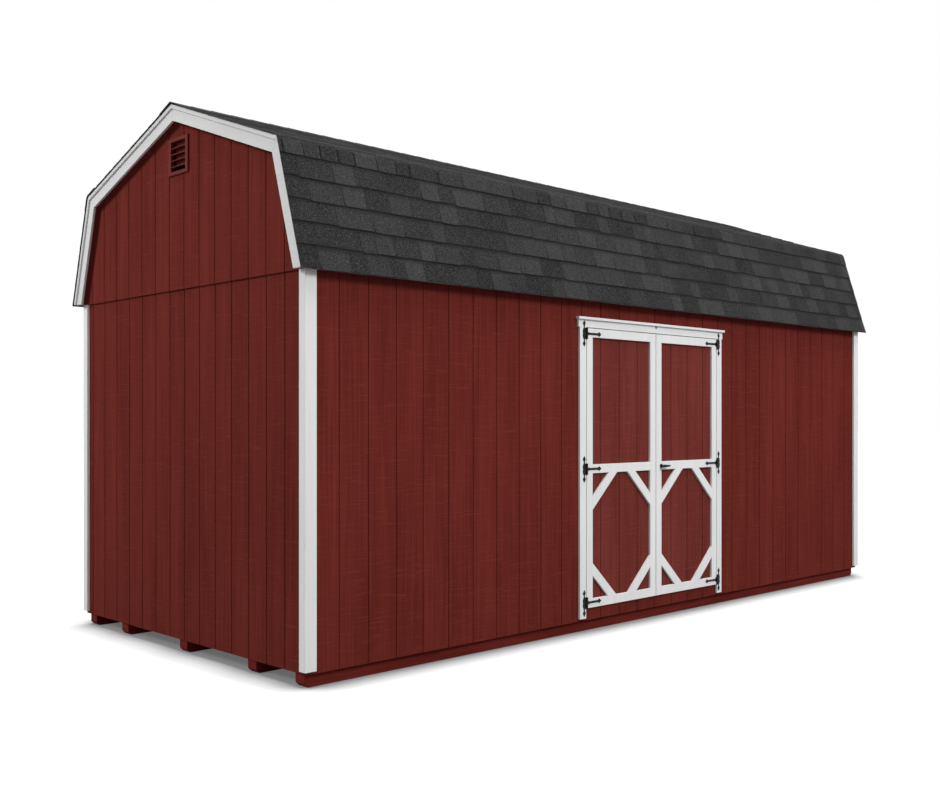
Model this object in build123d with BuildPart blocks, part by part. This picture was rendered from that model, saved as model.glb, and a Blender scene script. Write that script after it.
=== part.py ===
# Storage barn with a gambrel roof, a double door in its long front wall and a vent in each gable.
# Millimetres. +X runs along the barn, the doors face -Y, +Z is up.
# The origin is on the ground under the middle of the barn.

from build123d import *
import math
import os

os.makedirs("parts", exist_ok=True)

# Frame
frame_length = 6096
frame_width = 2946
wall_top = 2394
stud_thick = 38
stud_deep = 89
long_stud_pitch = 609.6
end_stud_pitch = 574
joint_gap = 0.4

# Skids and floor
skid_high = 102
skid_wide = 100
inner_skid_offset = 872
outer_skid_offset = 1401
skid_end_chamfer = 22
joist_high = 89
joist_pitch = 406.4
deck_thick = 16

# Siding
siding_thick = 12.7
siding_bottom = 82
soffit_thick = 10

# Roof
eave_reach = 90
eave_drop = 17
steep_run = 254
steep_rise = 784
upper_pitch = 1 / 3
sheathing_thick = 11
shingle_thick = 8
shingle_overhang = 8
rafter_deep = 89
gusset_thick = 12
gusset_reach = 210
ridge_cap_wide = 150
ridge_cap_thick = 6

# Rake
fly_rafter_thick = 32
fascia_thick = 16
fascia_wide = 90
rake_strip_thick = 11
rake_strip_wide = 26

# Trim
trim_thick = 19
trim_wide = 64
corner_front_wide = 57
trim_bottom = 99

# Doorway and its trim
door_wide = 1562
door_bottom = 171
door_top = 2187
door_gap = 5
meeting_gap = 6
header_beam_deep = 140
head_trim_high = 55
head_trim_reach = 13
cap_thick = 19
cap_reach = 12
cap_proud = 16

# Door leaves
leaf_skin_thick = 7.7
leaf_frame_deep = 38
leaf_frame_wide = 38
leaf_frame_set_back = 20
floor_clearance = 5
mid_rail_centre = 1172
low_brace_leg = 165
high_brace_leg = 174

# Hinges
hinge_inset = 40
barrel_radius = 7
barrel_high = 82
knuckle_gap = 0.4
plate_thick = 3
plate_high = 192
plate_centre = 24
plate_body_half = 15
spear_half = 15
spear_high = 40
neck_half = 5
strap_long = 155
strap_root_half = 24
strap_half = 8
strap_flare = 34
strap_spear_long = 36
strap_spear_half = 17

# Handle
handle_height = 1169
handle_inset = 58
rosette_radius = 16
rosette_thick = 7
spindle_radius = 8
spindle_long = 18
lever_long = 74
lever_root_half = 11
lever_tip_half = 5.5
lever_thick = 13

# Vent
vent_drop = 336
vent_opening = 206
vent_border_side = 29
vent_border_high = 18
vent_proud = 12
vent_wall = 4
slat_count = 4
slat_thick = 6
slat_deep = 30
slat_tilt = 16
slat_set_back = 6

# Worked out from the driving sizes
half_length = frame_length / 2
half_width = frame_width / 2
siding_x = half_length + siding_thick
siding_y = half_width + siding_thick
trim_y = siding_y + trim_thick
gable_x = siding_x + siding_thick
fly_x = gable_x + fly_rafter_thick
fascia_x = fly_x + fascia_thick
strip_x = fascia_x + rake_strip_thick
roof_x = strip_x + shingle_overhang
joist_top = skid_high + joist_high
deck_top = joist_top + deck_thick
seam = wall_top - soffit_thick
roof_thick = sheathing_thick + shingle_thick
eave_y = half_width + eave_reach
eave_z = wall_top - eave_drop
sheathing_foot = eave_z + shingle_overhang
break_y = eave_y - steep_run
break_z = eave_z + steep_rise
ridge_z = break_z + break_y * upper_pitch
vent_height = ridge_z - vent_drop
steep_angle = math.atan2(steep_rise, steep_run)
upper_angle = math.atan(upper_pitch)
rafter_inner = roof_thick + rafter_deep
door_half = door_wide / 2
leaf_outer = door_half - door_gap
leaf_inner = meeting_gap / 2
head_bottom = door_top + door_gap
head_top = head_bottom + head_trim_high
leaf_back = siding_y - leaf_skin_thick
header_bottom = wall_top - stud_thick - header_beam_deep
hinge_x = door_half - door_gap / 2
hinge_y = trim_y + barrel_radius
hinge_heights = (door_bottom + hinge_inset, mid_rail_centre, door_top - hinge_inset)
spindle_x = leaf_inner + handle_inset


def board(x, y, z):
    """Add a board between the low and high values of x, y and z."""
    with Locations(((x[0] + x[1]) / 2, (y[0] + y[1]) / 2, (z[0] + z[1]) / 2)):
        Box(x[1] - x[0], y[1] - y[0], z[1] - z[0])


def span(side, near, far):
    """The low and high value of a span measured outwards on one side of the middle."""
    return tuple(sorted((side * near, side * far)))


def spaced(low, high, pitch):
    """Places at a pitch either side of the middle, closed by one at each end."""
    count = math.ceil((high - low) / 2 / pitch) - 1
    middle = (low + high) / 2
    return [low] + [middle + pitch * step for step in range(-count, count + 1)] + [high]


def steep_point(inset, height):
    """A point on the steep slope, moved in from the roof surface, at a height."""
    run = (height - eave_z) / math.tan(steep_angle)
    return (eave_y - run - inset / math.sin(steep_angle), height)


def break_point(inset, along_steep=0, along_upper=0):
    """The break of the slopes, moved in from the roof surface and along either slope."""
    spread = 1 + math.cos(steep_angle - upper_angle)
    y = break_y - inset * (math.sin(steep_angle) + math.sin(upper_angle)) / spread
    z = break_z - inset * (math.cos(steep_angle) + math.cos(upper_angle)) / spread
    y += along_steep * math.cos(steep_angle) - along_upper * math.cos(upper_angle)
    z += along_upper * math.sin(upper_angle) - along_steep * math.sin(steep_angle)
    return (y, z)


def upper_point(inset, half):
    """A point on the upper slope, moved in from the roof surface, at a half width."""
    return (half, ridge_z - half * upper_pitch - inset / math.cos(upper_angle))


def steep_section(outer, inner, foot):
    """The cut through a board or slab that lies on the steep slope."""
    gap = joint_gap / 2
    return [
        steep_point(outer, foot),
        break_point(outer, along_steep=gap),
        break_point(inner, along_steep=gap),
        steep_point(inner, foot),
    ]


def upper_section(outer, inner):
    """The cut through a board or slab that lies on the upper slope."""
    gap = joint_gap / 2
    return [
        break_point(outer, along_upper=gap),
        upper_point(outer, gap),
        upper_point(inner, gap),
        break_point(inner, along_upper=gap),
    ]


def face_on_side(points, side):
    """Draw a closed outline, given for the rear half, on the front (-1) or rear (1) half."""
    Polygon(*[(side * y, z) for y, z in points], align=None)


def finish(piece, name):
    """Label a finished piece and write it out."""
    piece.part.label = name
    export_step(piece.part, f"parts/{name}.step")


# Skids: five treated timbers along the barn, their ends cut back at the bottom
with BuildPart() as skids:
    for offset_y in (-outer_skid_offset, -inner_skid_offset, 0, inner_skid_offset, outer_skid_offset):
        with BuildSketch(Plane.XZ.offset(-offset_y + skid_wide / 2)):
            Polygon(
                (-half_length, skid_high),
                (-half_length, skid_end_chamfer),
                (-half_length + skid_end_chamfer, 0),
                (half_length - skid_end_chamfer, 0),
                (half_length, skid_end_chamfer),
                (half_length, skid_high),
                align=None,
            )
        extrude(amount=-skid_wide)
finish(skids, "skids")

# Floor rims: the long edges of the floor frame
with BuildPart() as floor_rims:
    for side in (-1, 1):
        board(
            (-half_length, half_length),
            span(side, half_width - stud_thick, half_width),
            (skid_high, joist_top),
        )
finish(floor_rims, "floor_rims")

# Floor joists, one flush with each end and the rest at the joist pitch
with BuildPart() as floor_joists:
    for x in spaced(-half_length + stud_thick / 2, half_length - stud_thick / 2, joist_pitch):
        board(
            (x - stud_thick / 2, x + stud_thick / 2),
            (-half_width + stud_thick, half_width - stud_thick),
            (skid_high, joist_top),
        )
finish(floor_joists, "floor_joists")

# Floor deck of plywood sheets
with BuildPart() as floor_deck:
    board((-half_length, half_length), (-half_width, half_width), (joist_top, deck_top))
finish(floor_deck, "floor_deck")

# Wall plates: bottom and top, broken at the doorway
bottom_plate = (deck_top, deck_top + stud_thick)
top_plate = (wall_top - stud_thick, wall_top)
jack_half = door_half + stud_thick
with BuildPart() as wall_plates:
    rear_plate = (half_width - stud_deep, half_width)
    front_plate = (-half_width, -half_width + stud_deep)
    board((-half_length, half_length), rear_plate, bottom_plate)
    board((-half_length, half_length), rear_plate, top_plate)
    board((-half_length, half_length), front_plate, top_plate)
    for side in (-1, 1):
        board(span(side, jack_half, half_length), front_plate, bottom_plate)
        for level in (bottom_plate, top_plate):
            board(
                span(side, half_length - stud_deep, half_length),
                (-half_width + stud_deep + joint_gap, half_width - stud_deep - joint_gap),
                level,
            )
finish(wall_plates, "wall_plates")

# Wall studs, left out across the doorway, which has its own pair on each side
with BuildPart() as wall_studs:
    stud_span = (bottom_plate[1], top_plate[0])
    for x in spaced(-half_length + stud_thick / 2, half_length - stud_thick / 2, long_stud_pitch):
        across = (x - stud_thick / 2, x + stud_thick / 2)
        board(across, rear_plate, stud_span)
        if abs(x) > jack_half + 2 * stud_thick:
            board(across, front_plate, stud_span)
    for side in (-1, 1):
        board(span(side, jack_half + joint_gap, jack_half + stud_thick), front_plate, stud_span)
        board(span(side, door_half, jack_half), front_plate, (deck_top, header_bottom))
        end_stud = half_width - stud_deep - joint_gap - stud_thick / 2
        for y in spaced(-end_stud, end_stud, end_stud_pitch):
            board(
                span(side, half_length - stud_deep, half_length),
                (y - stud_thick / 2, y + stud_thick / 2),
                stud_span,
            )
finish(wall_studs, "wall_studs")

# Header beam over the doorway, on the inner studs of each pair
with BuildPart() as door_header_beam:
    board((-jack_half, jack_half), front_plate, (header_bottom, top_plate[0]))
finish(door_header_beam, "door_header_beam")

# Front siding, cut round the doorway
front_face = (-siding_y, -half_width)
with BuildPart() as front_siding_left:
    board((-siding_x, -door_half), front_face, (siding_bottom, seam))
finish(front_siding_left, "front_siding_left")

with BuildPart() as front_siding_right:
    board((door_half, siding_x), front_face, (siding_bottom, seam))
finish(front_siding_right, "front_siding_right")

with BuildPart() as front_siding_over_door:
    board((-door_half, door_half), front_face, (head_bottom, seam))
finish(front_siding_over_door, "front_siding_over_door")

with BuildPart() as front_siding_below_door:
    board((-door_half, door_half), front_face, (siding_bottom, door_bottom - door_gap))
finish(front_siding_below_door, "front_siding_below_door")

with BuildPart() as rear_siding:
    board((-siding_x, siding_x), (half_width, siding_y), (siding_bottom, seam))
finish(rear_siding, "rear_siding")

# End wall siding up to the wall top, and gable siding that laps over it at the seam
for side, name in ((-1, "left"), (1, "right")):
    with BuildPart() as end_siding:
        board(
            span(side, half_length, siding_x),
            (-half_width, half_width),
            (siding_bottom, wall_top),
        )
    finish(end_siding, f"{name}_wall_siding")

    with BuildPart() as gable_siding:
        with BuildSketch(Plane.YZ.offset(side * siding_x)):
            foot = steep_point(roof_thick, seam)
            knee = break_point(roof_thick)
            peak = upper_point(roof_thick, 0)
            Polygon(
                foot, knee, peak, (-knee[0], knee[1]), (-foot[0], foot[1]),
                align=None,
            )
            with Locations((0, vent_height)):
                Rectangle(vent_opening, vent_opening, mode=Mode.SUBTRACT)
        extrude(amount=side * siding_thick)
    finish(gable_siding, f"{name}_gable_siding")

# Rafters of each roof frame, resting on the plates: a frame stands flush with each end
# siding and the others over the wall studs
end_frame = siding_x - stud_thick / 2
frame_places = spaced(-end_frame, end_frame, long_stud_pitch)

with BuildPart() as lower_rafters:
    for x in frame_places:
        with BuildSketch(Plane.YZ.offset(x - stud_thick / 2)):
            for side in (-1, 1):
                face_on_side(steep_section(roof_thick, rafter_inner, wall_top), side)
        extrude(amount=stud_thick)
finish(lower_rafters, "lower_rafters")

with BuildPart() as upper_rafters:
    for x in frame_places:
        with BuildSketch(Plane.YZ.offset(x - stud_thick / 2)):
            for side in (-1, 1):
                face_on_side(upper_section(roof_thick, rafter_inner), side)
        extrude(amount=stud_thick)
finish(upper_rafters, "upper_rafters")

# Plywood gussets nailed across the break and ridge joints, on the inner face of each frame
with BuildPart() as rafter_gussets:
    for x in frame_places:
        inward = -1 if x > 0 else 1
        with BuildSketch(Plane.YZ.offset(x + inward * stud_thick / 2)):
            for side in (-1, 1):
                low_out = break_point(roof_thick, along_steep=gusset_reach)
                low_in = break_point(rafter_inner, along_steep=gusset_reach)
                high_out = break_point(roof_thick, along_upper=gusset_reach)
                high_in = break_point(rafter_inner, along_upper=gusset_reach)
                face_on_side([low_out, break_point(roof_thick), high_out, high_in, low_in], side)
            ridge_half = upper_point(roof_thick, gusset_reach)
            ridge_low = upper_point(rafter_inner, gusset_reach)
            Polygon(
                ridge_half, upper_point(roof_thick, 0), (-ridge_half[0], ridge_half[1]),
                (-ridge_low[0], ridge_low[1]), ridge_low,
                align=None,
            )
        extrude(amount=inward * gusset_thick)
finish(rafter_gussets, "rafter_gussets")

# Roof sheathing: one slope of panels after another on the rafters, from fascia to fascia
with BuildPart() as roof_sheathing:
    with BuildSketch(Plane.YZ.offset(-fascia_x)):
        for side in (-1, 1):
            face_on_side(steep_section(shingle_thick, roof_thick, sheathing_foot), side)
            face_on_side(upper_section(shingle_thick, roof_thick), side)
    extrude(amount=2 * fascia_x)
finish(roof_sheathing, "roof_sheathing")

# Shingles of each slope as one layer, which overhangs the sheathing at the eave and the rakes
for side, name in ((-1, "front"), (1, "rear")):
    with BuildPart() as lower_roof:
        with BuildSketch(Plane.YZ.offset(-roof_x)):
            face_on_side(steep_section(0, shingle_thick, eave_z), side)
        extrude(amount=2 * roof_x)
    finish(lower_roof, f"{name}_lower_roof")

    with BuildPart() as upper_roof:
        with BuildSketch(Plane.YZ.offset(-roof_x)):
            face_on_side(upper_section(0, shingle_thick), side)
        extrude(amount=2 * roof_x)
    finish(upper_roof, f"{name}_upper_roof")

# Ridge cap of bent shingles
with BuildPart() as ridge_cap:
    with BuildSketch(Plane.YZ.offset(-roof_x)):
        edge_low = upper_point(0, ridge_cap_wide)
        edge_high = upper_point(-ridge_cap_thick, ridge_cap_wide)
        Polygon(
            edge_low, edge_high, upper_point(-ridge_cap_thick, 0),
            (-edge_high[0], edge_high[1]), (-edge_low[0], edge_low[1]), upper_point(0, 0),
            align=None,
        )
    extrude(amount=2 * roof_x)
finish(ridge_cap, "ridge_cap")

# Eave soffits: a board on the top edge of the long siding, under the rafter feet
with BuildPart() as eave_soffits:
    for side in (-1, 1):
        board(
            (-siding_x, siding_x),
            span(side, half_width, steep_point(roof_thick, wall_top)[0]),
            (seam, wall_top),
        )
finish(eave_soffits, "eave_soffits")


# Rake boards: red fly rafters on the gable siding, white fascia on them, and a white strip
# that covers the sheathing's edge under the shingles; four boards a gable, mitred at the
# break and the ridge
def rake_boards(x_near, x_far, outer, inner, foot):
    """Add the four boards of each gable between two distances from the middle."""
    for end in (-1, 1):
        with BuildSketch(Plane.YZ.offset(end * x_near)) as section:
            for side in (-1, 1):
                face_on_side(steep_section(outer, inner, foot), side)
                face_on_side(upper_section(outer, inner), side)
        extrude(section.sketch, amount=end * (x_far - x_near))


rake_inner = roof_thick + fascia_wide
with BuildPart() as fly_rafters:
    rake_boards(gable_x, fly_x, roof_thick, rafter_inner, seam)
finish(fly_rafters, "fly_rafters")

with BuildPart() as rake_fascia:
    rake_boards(fly_x, fascia_x, roof_thick, rake_inner, seam)
finish(rake_fascia, "rake_fascia")

with BuildPart() as rake_strips:
    rake_boards(
        fascia_x, strip_x, shingle_thick, shingle_thick + rake_strip_wide, sheathing_foot,
    )
finish(rake_strips, "rake_strips")

# Corner trims: two boards at each corner, the gable one covering the edge of the other
with BuildPart() as corner_trims:
    for end in (-1, 1):
        for side in (-1, 1):
            upright = (trim_bottom, seam)
            board(
                span(end, siding_x, siding_x + trim_thick),
                span(side, trim_y - trim_wide, trim_y),
                upright,
            )
            board(
                span(end, siding_x - corner_front_wide, siding_x),
                span(side, siding_y, trim_y),
                upright,
            )
finish(corner_trims, "corner_trims")

# Doorway trim: jamb boards, and a head board under a projecting cap
with BuildPart() as door_jamb_trims:
    for side in (-1, 1):
        board(
            span(side, door_half, door_half + trim_wide),
            (-trim_y, -siding_y),
            (trim_bottom, head_bottom),
        )
finish(door_jamb_trims, "door_jamb_trims")

head_half = door_half + trim_wide + head_trim_reach
with BuildPart() as door_head_trim:
    board((-head_half, head_half), (-trim_y, -siding_y), (head_bottom, head_top))
    board(
        (-head_half - cap_reach, head_half + cap_reach),
        (-trim_y - cap_proud, -siding_y),
        (head_top + joint_gap, head_top + cap_thick),
    )
finish(door_head_trim, "door_head_trim")

# Gable vents: a flanged frame in the opening with tilted slats
for side, name in ((-1, "left"), (1, "right")):
    with BuildPart() as gable_vent:
        with BuildSketch(Plane.YZ.offset(side * gable_x)):
            with Locations((0, vent_height)):
                Rectangle(
                    vent_opening + 2 * vent_border_side,
                    vent_opening + 2 * vent_border_high,
                )
                Rectangle(
                    vent_opening - 2 * vent_wall,
                    vent_opening - 2 * vent_wall,
                    mode=Mode.SUBTRACT,
                )
        extrude(amount=side * vent_proud)
        with BuildSketch(Plane.YZ.offset(side * gable_x)):
            with Locations((0, vent_height)):
                Rectangle(vent_opening, vent_opening)
                Rectangle(
                    vent_opening - 2 * vent_wall,
                    vent_opening - 2 * vent_wall,
                    mode=Mode.SUBTRACT,
                )
        extrude(amount=-side * siding_thick)
        slat_pitch = vent_opening / (slat_count + 1)
        for step in range(slat_count):
            height = vent_height + slat_pitch * (step - (slat_count - 1) / 2)
            slat_x = gable_x - slat_set_back
            with Locations(Location((side * slat_x, 0, height), (0, side * slat_tilt, 0))):
                Box(slat_deep, vent_opening - vent_wall, slat_thick)
    finish(gable_vent, f"{name}_gable_vent")


# Door leaves, left and right, each a skin on a light frame with white trim boards
def leaf_trim(side):
    """Draw the stiles, rails and corner braces of one leaf."""
    stile_in = leaf_inner + trim_wide
    stile_out = leaf_outer - trim_wide
    middle = (leaf_inner + leaf_outer) / 2
    panel_wide = stile_out - stile_in
    leaf_high = door_top - door_bottom
    with Locations((side * middle, door_bottom + leaf_high / 2)):
        Rectangle(leaf_outer - leaf_inner, leaf_high)
    upper_low = mid_rail_centre + trim_wide / 2
    upper_high = door_top - trim_wide
    lower_low = door_bottom + trim_wide
    lower_high = mid_rail_centre - trim_wide / 2
    for low, high in ((lower_low, lower_high), (upper_low, upper_high)):
        with Locations((side * middle, (low + high) / 2)):
            Rectangle(panel_wide, high - low, mode=Mode.SUBTRACT)
    for corner_x, toward_x in ((stile_in, 1), (stile_out, -1)):
        for corner_z, toward_z, leg in (
            (lower_low, 1, low_brace_leg),
            (lower_high, -1, high_brace_leg),
        ):
            far_leg = leg + trim_wide * math.sqrt(2)
            near_x = corner_x + toward_x * leg
            far_x = corner_x + toward_x * far_leg
            near_z = corner_z + toward_z * leg
            far_z = corner_z + toward_z * far_leg
            Polygon(
                (side * near_x, corner_z), (side * far_x, corner_z),
                (side * corner_x, far_z), (side * corner_x, near_z),
                align=None,
            )


def strap_outline(side, height):
    """Draw the moving half of a hinge: lug, flared root, arm and spear tip."""
    root = barrel_radius + knuckle_gap
    arm_end = strap_long - strap_spear_long
    widest = arm_end + strap_spear_long * 0.4
    with BuildLine() as outline:
        Polyline(
            (side * (hinge_x - arm_end), height - strap_half),
            (side * (hinge_x - widest), height - strap_spear_half),
            (side * (hinge_x - strap_long), height),
            (side * (hinge_x - widest), height + strap_spear_half),
            (side * (hinge_x - arm_end), height + strap_half),
            (side * (hinge_x - strap_flare), height + strap_half),
        )
        for up in (1, -1):
            flare_mid = root + (strap_flare - root) * 0.4
            flare_half = strap_half + (strap_root_half - strap_half) * 0.3
            ThreePointArc(
                (side * (hinge_x - strap_flare), height + up * strap_half),
                (side * (hinge_x - flare_mid), height + up * flare_half),
                (side * (hinge_x - root), height + up * strap_root_half),
            )
        Line(
            (side * (hinge_x - root), height + strap_root_half),
            (side * (hinge_x - root), height - strap_root_half),
        )
        Line(
            (side * (hinge_x - strap_flare), height - strap_half),
            (side * (hinge_x - arm_end), height - strap_half),
        )
    make_face(outline.edges())


def plate_outline(side, height):
    """Draw the fixed half of a hinge: scalloped body with a spear at each end."""
    centre = hinge_x + plate_centre
    body_high = barrel_high / 2
    spear_low = plate_high / 2 - spear_high
    widest = spear_low + spear_high * 0.4
    edge = hinge_x + barrel_radius + knuckle_gap
    outer = centre + plate_body_half
    with BuildLine() as outline:
        for up in (1, -1):
            Polyline(
                (side * edge, height + up * body_high),
                (side * (centre - neck_half), height + up * body_high),
                (side * (centre - neck_half), height + up * spear_low),
                (side * (centre - spear_half), height + up * widest),
                (side * centre, height + up * plate_high / 2),
                (side * (centre + spear_half), height + up * widest),
                (side * (centre + neck_half), height + up * spear_low),
                (side * (centre + neck_half), height + up * body_high),
            )
            ThreePointArc(
                (side * (centre + neck_half), height + up * body_high),
                (side * (outer - 1), height + up * body_high * 0.62),
                (side * (outer - 3), height),
            )
        Line((side * edge, height + body_high), (side * edge, height - body_high))
    make_face(outline.edges())


knuckle_high = (barrel_high - 2 * knuckle_gap) / 3
for side, name in ((-1, "left"), (1, "right")):
    with BuildPart() as door_panel:
        board(
            span(side, leaf_inner, leaf_outer),
            (-siding_y, -leaf_back),
            (door_bottom, door_top),
        )
    finish(door_panel, f"{name}_door_panel")

    with BuildPart() as door_trim:
        with BuildSketch(Plane.XZ.offset(siding_y)):
            leaf_trim(side)
        extrude(amount=trim_thick)
    finish(door_trim, f"{name}_door_trim")

    with BuildPart() as door_frame:
        depth = (-leaf_back, -leaf_back + leaf_frame_deep)
        frame_low = deck_top + floor_clearance
        free_edge = leaf_inner + leaf_frame_set_back
        for near in (free_edge, leaf_outer - leaf_frame_wide):
            board(span(side, near, near + leaf_frame_wide), depth, (frame_low, door_top))
        rails = (
            frame_low,
            mid_rail_centre - leaf_frame_wide / 2,
            door_top - leaf_frame_wide,
        )
        for low in rails:
            board(
                span(
                    side,
                    free_edge + leaf_frame_wide + joint_gap,
                    leaf_outer - leaf_frame_wide - joint_gap,
                ),
                depth,
                (low, low + leaf_frame_wide),
            )
    finish(door_frame, f"{name}_door_frame")

    with BuildPart() as hinge_straps:
        for height in hinge_heights:
            with BuildSketch(Plane.XZ.offset(trim_y)):
                strap_outline(side, height)
                with Locations((side * (hinge_x - barrel_radius), height)):
                    Rectangle(2 * barrel_radius, knuckle_high)
            extrude(amount=plate_thick)
            with BuildSketch(Plane.XY.offset(height - knuckle_high / 2)):
                with Locations((side * hinge_x, -hinge_y)):
                    Circle(barrel_radius)
            extrude(amount=knuckle_high)
    finish(hinge_straps, f"{name}_hinge_straps")

# Fixed halves of the six hinges, on the jamb boards
with BuildPart() as hinge_plates:
    for side in (-1, 1):
        for height in hinge_heights:
            with BuildSketch(Plane.XZ.offset(trim_y)):
                plate_outline(side, height)
                for up in (-1, 1):
                    lug = height + up * (barrel_high - knuckle_high) / 2
                    with Locations((side * (hinge_x + barrel_radius), lug)):
                        Rectangle(2 * barrel_radius, knuckle_high)
            extrude(amount=plate_thick)
            for up in (-1, 1):
                low = height + up * (barrel_high - knuckle_high) / 2 - knuckle_high / 2
                with BuildSketch(Plane.XY.offset(low)):
                    with Locations((side * hinge_x, -hinge_y)):
                        Circle(barrel_radius)
                extrude(amount=knuckle_high)
finish(hinge_plates, "hinge_plates")

# Handle rosette, fixed on the meeting stile of the right leaf
with BuildPart() as handle_rosette:
    with BuildSketch(Plane.XZ.offset(trim_y)):
        with Locations((spindle_x, handle_height)):
            Circle(rosette_radius)
    extrude(amount=rosette_thick)
finish(handle_rosette, "handle_rosette")

# Handle lever, on a spindle that turns in the rosette
with BuildPart() as handle_lever:
    spindle_y = trim_y + rosette_thick + joint_gap
    lever_y = spindle_y + spindle_long
    with BuildSketch(Plane.XZ.offset(spindle_y)):
        with Locations((spindle_x, handle_height)):
            Circle(spindle_radius)
    extrude(amount=spindle_long)
    with BuildSketch(Plane.XZ.offset(lever_y)):
        with BuildLine():
            top = (spindle_x, handle_height + lever_root_half)
            tip_top = (spindle_x + lever_long - lever_tip_half, handle_height + lever_tip_half)
            tip_low = (tip_top[0], handle_height - lever_tip_half)
            low = (spindle_x, handle_height - lever_root_half)
            Line(top, tip_top)
            ThreePointArc(tip_top, (spindle_x + lever_long, handle_height), tip_low)
            Line(tip_low, low)
            ThreePointArc(low, (spindle_x - lever_root_half, handle_height), top)
        make_face()
    extrude(amount=lever_thick)
finish(handle_lever, "handle_lever")
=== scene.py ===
import math

import bmesh
import bpy
from mathutils import Matrix, Vector


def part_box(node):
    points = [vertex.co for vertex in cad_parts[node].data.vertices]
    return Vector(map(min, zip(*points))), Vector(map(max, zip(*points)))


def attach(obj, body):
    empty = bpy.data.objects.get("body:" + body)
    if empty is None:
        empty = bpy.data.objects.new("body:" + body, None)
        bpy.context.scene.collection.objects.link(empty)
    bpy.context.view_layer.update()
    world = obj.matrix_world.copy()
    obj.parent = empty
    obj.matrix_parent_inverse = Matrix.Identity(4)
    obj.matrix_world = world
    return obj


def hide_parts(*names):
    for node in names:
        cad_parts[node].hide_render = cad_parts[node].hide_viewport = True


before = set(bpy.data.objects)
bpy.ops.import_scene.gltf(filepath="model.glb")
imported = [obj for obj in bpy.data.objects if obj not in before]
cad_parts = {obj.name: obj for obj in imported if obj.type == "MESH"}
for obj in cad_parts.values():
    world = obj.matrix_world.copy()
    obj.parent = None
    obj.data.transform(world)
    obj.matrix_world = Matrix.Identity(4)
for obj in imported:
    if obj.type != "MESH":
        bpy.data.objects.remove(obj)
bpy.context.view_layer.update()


# Studio: the photograph's camera, a white floor and sky, and soft lamps
# The camera stands off the near front corner at eye level and looks level.
picture_wide = 940
focal_pixels = 1092.6
sight_column = 606.1
sight_row = 418.8
picture_centre = (470, 394)
eye = (-6.472, -6.911, 1.534)
heading = 42.49

scene = bpy.context.scene
scene.view_settings.view_transform = "Standard"

lens = bpy.data.cameras.new("camera")
lens.sensor_width = 36
lens.lens = lens.sensor_width * focal_pixels / picture_wide
lens.shift_x = (picture_centre[0] - sight_column) / picture_wide
lens.shift_y = (sight_row - picture_centre[1]) / picture_wide
camera = bpy.data.objects.new("camera", lens)
camera.location = eye
camera.rotation_euler = (math.radians(90), 0, math.radians(heading - 90))
scene.collection.objects.link(camera)
scene.camera = camera


def add(tree, kind, inputs=None, **settings):
    """Add a node with its settings, and set or link its inputs by name or number."""
    made = tree.nodes.new(kind)
    for name, value in settings.items():
        setattr(made, name, value)
    for name, value in (inputs or {}).items():
        if isinstance(value, bpy.types.NodeSocket):
            tree.links.new(value, made.inputs[name])
        else:
            made.inputs[name].default_value = value
    return made


def paint(red, green, blue):
    """A colour as it reads in a picture, from 0 to 255, as light."""
    levels = []
    for level in (red, green, blue):
        share = level / 255
        levels.append(share / 12.92 if share <= 0.04045 else ((share + 0.055) / 1.055) ** 2.4)
    return (*levels, 1)


def seen_directly(tree):
    """One for what the camera sees, plainly or mirrored, and nought for other light."""
    light = add(tree, "ShaderNodeLightPath").outputs
    mirrored = add(
        tree, "ShaderNodeMath",
        {0: light["Is Glossy Ray"], 1: light["Is Transmission Ray"]}, operation="ADD",
    )
    return add(
        tree, "ShaderNodeMath",
        {0: light["Is Camera Ray"], 1: mirrored.outputs[0]},
        operation="ADD", use_clamp=True,
    ).outputs[0]


sky_light = 0.46
sky = bpy.data.worlds.new("sky")
scene.world = sky
sky.use_nodes = True
sky.node_tree.nodes.clear()
sky_tree = sky.node_tree
lit = add(sky_tree, "ShaderNodeBackground", {"Color": (1, 1, 1, 1), "Strength": sky_light})
shown = add(sky_tree, "ShaderNodeBackground", {"Color": (1, 1, 1, 1), "Strength": 1})
chosen = add(
    sky_tree, "ShaderNodeMixShader",
    {0: seen_directly(sky_tree), 1: lit.outputs[0], 2: shown.outputs[0]},
)
add(sky_tree, "ShaderNodeOutputWorld", {"Surface": chosen.outputs[0]})


def lamp(name, place, target, size, power):
    """Hang a square soft lamp that faces a target."""
    light = bpy.data.lights.new(name, "AREA")
    light.size = size
    light.energy = power
    hung = bpy.data.objects.new(name, light)
    hung.location = place
    aim = Vector(target) - Vector(place)
    hung.rotation_euler = aim.to_track_quat("-Z", "Y").to_euler()
    scene.collection.objects.link(hung)


lamp("top_lamp", (-1, -2, 14), (0, 0, 1.5), 10, 2100)
lamp("key_lamp", (2, -14, 10), (0, 0, 1.5), 5, 1420)
lamp("side_lamp", (-13, 5, 9), (0, 0, 1.5), 4, 1120)

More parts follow.
